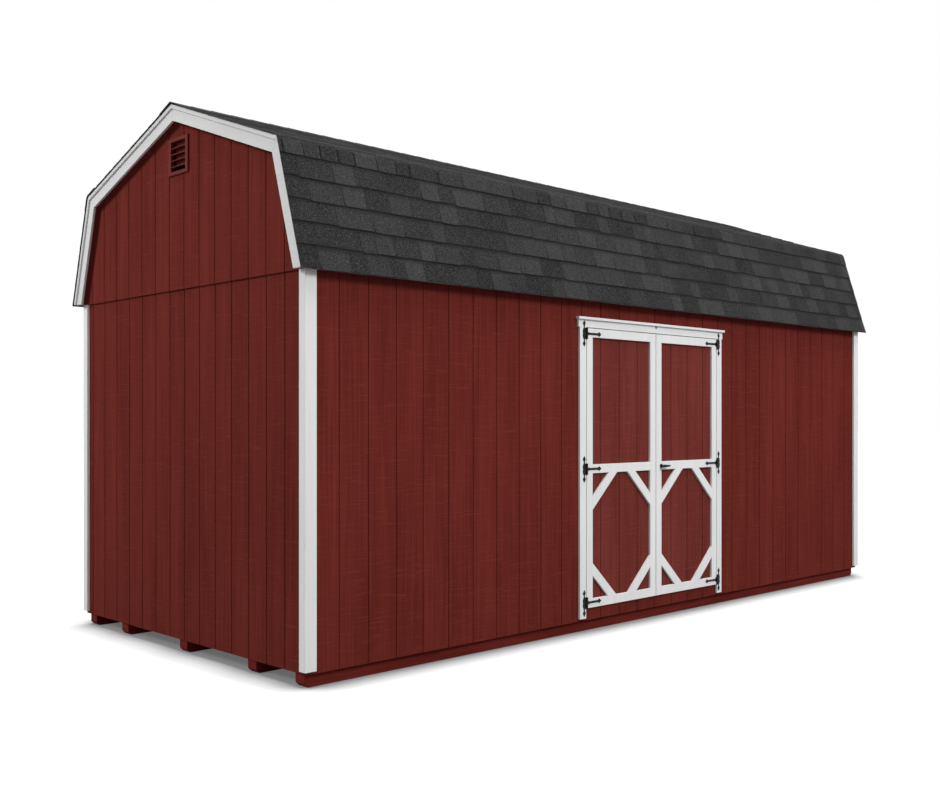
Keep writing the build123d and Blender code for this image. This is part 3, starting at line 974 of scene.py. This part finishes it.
def shingled(name, label, side, foot, angle, start, courses, seed, **changes):
    """Lay courses of a tab from a foot line up a slope on the front (-1) or rear (1)."""
    up = Vector((0, -side * math.cos(angle), math.sin(angle)))
    outward = Vector((0, side * math.sin(angle), math.cos(angle)))
    base = Vector((side * roof_end, side * foot.x, foot.y))
    base += up * start - outward * shingle_layer
    values = {
        "Tab": tab_forms[f"{label}_tab"], "Layer": tab_forms[f"{label}_layer"],
        "Finish": charcoal, "Length": 2 * roof_end,
        "Exposure": course_exposure, "Courses": courses,
        "Tabs": math.ceil(2 * roof_end / tab_narrow),
        "Narrow": tab_narrow, "Wide": tab_wide, "Joint": tab_joint, "Lap": tab_lap,
        "Raggedness": tab_raggedness, "Bare Share": bare_share,
        "Thin Height": thin_height,
        "Turn": (angle, 0, math.pi if side > 0 else 0), "Foot": base, "Seed": seed,
    }
    values.update(changes)
    return grown(name, course_pattern, values)


starter_changes = {
    "Narrow": 0.9, "Wide": 1.0, "Bare Share": 1.0, "Thin Height": starter_height,
    "Raggedness": 0.0,
}
bent_changes = {
    "Thin Height": bent_height, "Bare Share": 0.3, "Raggedness": top_raggedness,
}
upper_courses = int((upper_long - upper_start - short_tab_long) // course_exposure) + 1
last_start = upper_start + (upper_courses - 1) * course_exposure
for side, name, seed in ((-1, "front", 11), (1, "rear", 61)):
    steep_meshes = [
        shingled(
            f"{name}_starter", "flat", side, eave, steep_angle, 0, 1, seed,
            **starter_changes,
        ),
        shingled(
            f"{name}_steep", "flat", side, eave, steep_angle, 0, steep_courses, seed + 10,
        ),
        shingled(
            f"{name}_bent", "bent", side, eave, steep_angle, bent_start, 1, seed + 20,
            **bent_changes,
        ),
    ]
    piece(
        f"{name}_lower_shingles", joined(steep_meshes), charcoal, "barn", "shingle",
        f"{name}_lower_roof",
    )
    upper_meshes = [
        shingled(
            f"{name}_upper", "flat", side, knee, upper_angle, upper_start,
            upper_courses - 1, seed + 30,
        ),
        shingled(
            f"{name}_last", "short", side, knee, upper_angle, last_start, 1, seed + 40,
            Raggedness=top_raggedness,
        ),
    ]
    piece(
        f"{name}_upper_shingles", joined(upper_meshes), charcoal, "barn", "shingle",
        f"{name}_upper_roof",
    )
for made in tab_forms.values():
    bpy.data.objects.remove(made)


# Ridge cap: shingles bent over the ridge, each lapped by the next, with a thick end
# They run from gable to gable and cover the last course of both slopes.
cap_long = 0.25
cap_exposure = 0.143
cap_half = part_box("ridge_cap")[1].y
cap_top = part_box("ridge_cap")[1].z
cap_droop = 0.0045
cap_rise = 0.0062
cap_sheet = 0.0035
cap_tail = 0.002
cap_tail_lift = 0.0003
cap_clear = 0.0002


def cap_shingle():
    """One cap shingle along X, with its thick end at the start."""
    form = bmesh.new()
    rings = []
    for along, lift, thick in (
        (0, cap_rise - cap_sheet, cap_sheet), (cap_long, cap_tail_lift, cap_tail),
    ):
        ring = []
        for share, layer in ((-1, 0), (0, 0), (1, 0), (1, 1), (0, 1), (-1, 1)):
            height = -abs(share) * (cap_half * math.tan(upper_angle) + cap_droop)
            ring.append(form.verts.new((along, share * cap_half, height + lift + layer * thick)))
        rings.append(ring)
    near, far = rings
    form.faces.new(near)
    form.faces.new(far)
    for step in range(len(near)):
        after = (step + 1) % len(near)
        form.faces.new((near[step], near[after], far[after], far[step]))
    bmesh.ops.recalc_face_normals(form, faces=form.faces)
    return loose("cap_shingle", form)


def cap_row():
    """A row of cap shingles, each a little darker or lighter than the last."""
    tree, given = pattern("cap_row", {
        "Cap": "Object", "Finish": "Material", "Start": "Vector", "Step": "Vector",
        "Count": "Int", "Seed": "Int",
    })
    spots = add(
        tree, "GeometryNodeMeshLine",
        {"Count": given["Count"], "Start Location": given["Start"], "Offset": given["Step"]},
    )
    tone = add(
        tree, "FunctionNodeRandomValue", {2: 0, 3: 1, 8: given["Seed"]}, data_type="FLOAT",
    )
    toned = add(
        tree, "GeometryNodeStoreNamedAttribute",
        {"Geometry": spots.outputs[0], "Name": "tone", "Value": tone.outputs[1]},
        data_type="FLOAT", domain="POINT",
    )
    cap = add(tree, "GeometryNodeObjectInfo", {"Object": given["Cap"]})
    caps = add(
        tree, "GeometryNodeInstanceOnPoints",
        {"Points": toned.outputs[0], "Instance": cap.outputs["Geometry"]},
    )
    real = add(tree, "GeometryNodeRealizeInstances", {"Geometry": caps.outputs[0]})
    coated = add(
        tree, "GeometryNodeSetMaterial",
        {"Geometry": real.outputs[0], "Material": given["Finish"]},
    )
    add(tree, "NodeGroupOutput", {0: coated.outputs[0]})
    return tree


cap_form = cap_shingle()
cap_count = math.floor((2 * roof_end - cap_long) / cap_exposure) + 1
cap_step = (2 * roof_end - cap_long) / (cap_count - 1)
cap_start = (-roof_end, 0, cap_top - cap_rise - cap_clear)
cap_mesh = grown("ridge_cap_row", cap_row(), {
    "Cap": cap_form, "Finish": charcoal, "Start": cap_start,
    "Step": (cap_step, 0, 0), "Count": cap_count, "Seed": 5,
})
bpy.data.objects.remove(cap_form)
mounted("ridge_cap_shingles", cap_mesh, charcoal, "barn", "shingle", "ridge_cap")


# Eave soffits and fly rafters: boards painted barn red with the siding
# A soffit closes each eave on top of the long wall, and the fly rafters hold the fascia
# off the gables.
red_board = wood_finish(
    "barn_red_board", paint(102, 39, 33), paint(90, 33, 28), "y", 0.6, 90, 3, 0.0005,
)
dressed(red_board, "eave_soffits", "fly_rafters")


# Rake fascia and strips: white-painted boards nailed along each gable's roof edge
# The strip covers the edge of the sheathing, right under the ends of the shingles.
# The rakes' white is a darker copy of the trims' white: painted shade.
rake_shaded_pale = paint(214, 214, 213)
rake_shaded_deep = paint(202, 203, 203)
board_easing = 0.0015
strip_easing = 0.0012


def white_paint(name, along, pale, deep):
    """Satin white on smooth trim boards with their grain along one axis."""
    return wood_finish(name, pale, deep, along, 0.5, 60, 2, 0.0003)


def white_boards(name, node, finish, body="barn", easing=board_easing):
    """White trim boards with sanded edges in place of a CAD node."""
    made = piece(name, merged(node), finish, body, "white_trim", node)
    return eased(made, easing)


white_shaded_across = white_paint("white_rakes_shaded", "y", rake_shaded_pale, rake_shaded_deep)
white_boards("fascia_boards", "rake_fascia", white_shaded_across)
white_boards("edge_strips", "rake_strips", white_shaded_across, easing=strip_easing)


# Corner trims: two white boards nailed over the siding's edges at each corner
# The gable board covers the edge of the other one.
white_pale = paint(226, 226, 226)
white_deep = paint(215, 216, 216)
white_upright = white_paint("white_uprights", "z", white_pale, white_deep)
white_boards("corner_boards", "corner_trims", white_upright)


# Doorway trim: white jamb boards beside the doorway, and a head board under a cap
# The cap stands proud of the head board and sheds the rain.
white_long = white_paint("white_head", "x", white_pale, white_deep)
white_boards("jamb_boards", "door_jamb_trims", white_upright)
white_boards("head_board_and_cap", "door_head_trim", white_long)


# Gable vents: louvred wooden frames painted barn red, set in the gable siding
# Four slats tilt down to the outside, and a lip along the back of each stops the rain.
vent_slats = 4
slat_clear = 0.198
slat_pitch = 0.0412
slat_back = 0.0217
slat_back_rise = 0.004
lip_thick = 0.003
lip_high = 0.035
louvre_easing = 0.0008
for side, name in ((-1, "left"), (1, "right")):
    vent = f"{name}_gable_vent"
    louvres = merged(vent)
    low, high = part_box(vent)
    middle = (low + high) / 2
    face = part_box(f"{name}_gable_siding")[0 if side < 0 else 1].x
    for slat in range(vent_slats):
        foot = middle.z + slat_pitch * (slat - (vent_slats - 1) / 2) + slat_back_rise
        near = face - side * slat_back
        far = near - side * lip_thick
        slab(
            louvres, (min(near, far), middle.y - slat_clear / 2, foot),
            (max(near, far), middle.y + slat_clear / 2, foot + lip_high),
        )
    louvred = piece(f"{name}_louvres", louvres, red_board, "barn", "red_siding", vent)
    eased(louvred, louvre_easing)


# Door leaves: a skin of grooved siding on a softwood frame, edged with white boards
# The stiles run the full height, the rails fit between them, and short braces cross the
# corners below the middle rail.
door_red = siding_paint(
    "barn_red_doors", paint(95, 39, 34), paint(117, 54, 48), paint(121, 58, 52),
)
for side in ("left", "right"):
    grooved(
        f"{side}_leaf_skin", f"{side}_door_panel", "x", long_wall_groove, door_red,
        f"{side}_door",
    )
    dressed(softwood_upright, f"{side}_door_frame")
    white_boards(f"{side}_leaf_boards", f"{side}_door_trim", white_upright, f"{side}_door")


# Hinges: black steel strap hinges, three to a leaf, with pins through their knuckles
# The plates are screwed to the jambs and the straps to the leaves.
peel_a_metre = 900
peel_relief = 0.0005
hinge_easing = 0.0006


def black_iron():
    """Black powder coat on steel, with a fine orange-peel surface."""
    finish, tree, shader = new_finish("black_iron", 0.45, 0.2)
    shader.inputs["Base Color"].default_value = paint(9, 9, 10)
    place = add(tree, "ShaderNodeTexCoord")
    peel = add(
        tree, "ShaderNodeTexNoise",
        {"Vector": place.outputs["Object"], "Scale": peel_a_metre},
    )
    roughen(tree, shader, peel.outputs[0], 0.3, peel_relief)
    return finish


def ironwork(name, node, body, easing):
    """Black steel with eased edges in place of a CAD node."""
    made = piece(name, merged(node), iron, body, "black_iron", node)
    return eased(made, easing)


iron = black_iron()
ironwork("jamb_plates", "hinge_plates", "barn", hinge_easing)
for side in ("left", "right"):
    ironwork(f"{side}_straps", f"{side}_hinge_straps", f"{side}_door", hinge_easing)


# Hinge screws: black domed steel screws, four to a plate and two to a strap
# They hold the plates to the jambs and the straps to the leaves' stiles and rails.
screw_radius = 0.0042
screw_rise = 0.0014
hinge_line = 0.7785
plate_thick = 0.003
hinge_heights = (0.211, 1.172, 2.147)
plate_screw_out = 0.024
plate_screw_rises = (0.028, 0.066)
strap_screw_in = 0.06
strap_screw_apart = 0.075
trim_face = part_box("door_jamb_trims")[0].y
screw_face = trim_face - plate_thick
screw_head = domed_head("screw_head", screw_radius, screw_rise, 10)


def screwed(start, rise, columns, rows, apart):
    """Rows and columns of screws beside one hinge, about a rise over and under its middle."""
    across, height = start
    return grown("hinge_screws", fastener_pattern, {
        "Head": screw_head, "Finish": iron, "Corner": (across, screw_face, height - rise),
        "Across": (apart, 0, 0), "Columns": columns, "Up": (0, 0, 2 * rise), "Rows": rows,
        "Turn": (math.pi / 2, 0, 0),
    })


plate_screws = []
for side, name in ((-1, "left"), (1, "right")):
    plate_across = side * (hinge_line + plate_screw_out)
    strap_across = side * (hinge_line - strap_screw_in)
    strap_apart = -side * strap_screw_apart
    strap_screws = []
    for height in hinge_heights:
        for rise in plate_screw_rises:
            plate_screws.append(screwed((plate_across, height), rise, 1, 2, 0))
        strap_screws.append(screwed((strap_across, height), 0, 2, 1, strap_apart))
    piece(f"{name}_strap_screws", joined(strap_screws), iron, f"{name}_door", "black_iron")
piece("plate_screws", joined(plate_screws), iron, "barn", "black_iron")
bpy.data.objects.remove(screw_head)


# Head screw: one large black screw in the head board, over the line where the leaves meet
# It holds the stop behind the board.
head_screw_radius = 0.009
head_screw_rise = 0.003
head_screw_height = 2.236
head_screw = domed_head("head_screw", head_screw_radius, head_screw_rise, 16)
head_screw.data.transform(Matrix.Rotation(math.pi / 2, 4, "X"))
head_screw.data.transform(Matrix.Translation((0, trim_face, head_screw_height)))
mounted("head_board_screw", head_screw.data.copy(), iron, "barn", "black_iron")
bpy.data.objects.remove(head_screw)


# Handle: a black steel lever on a round rosette, screwed to the right leaf's stile
# The lever turns on its spindle and lifts the latch.
rosette_easing = 0.0015
lever_easing = 0.002
ironwork("rosette", "handle_rosette", "right_door", rosette_easing)
ironwork("lever", "handle_lever", "door_handle", lever_easing)
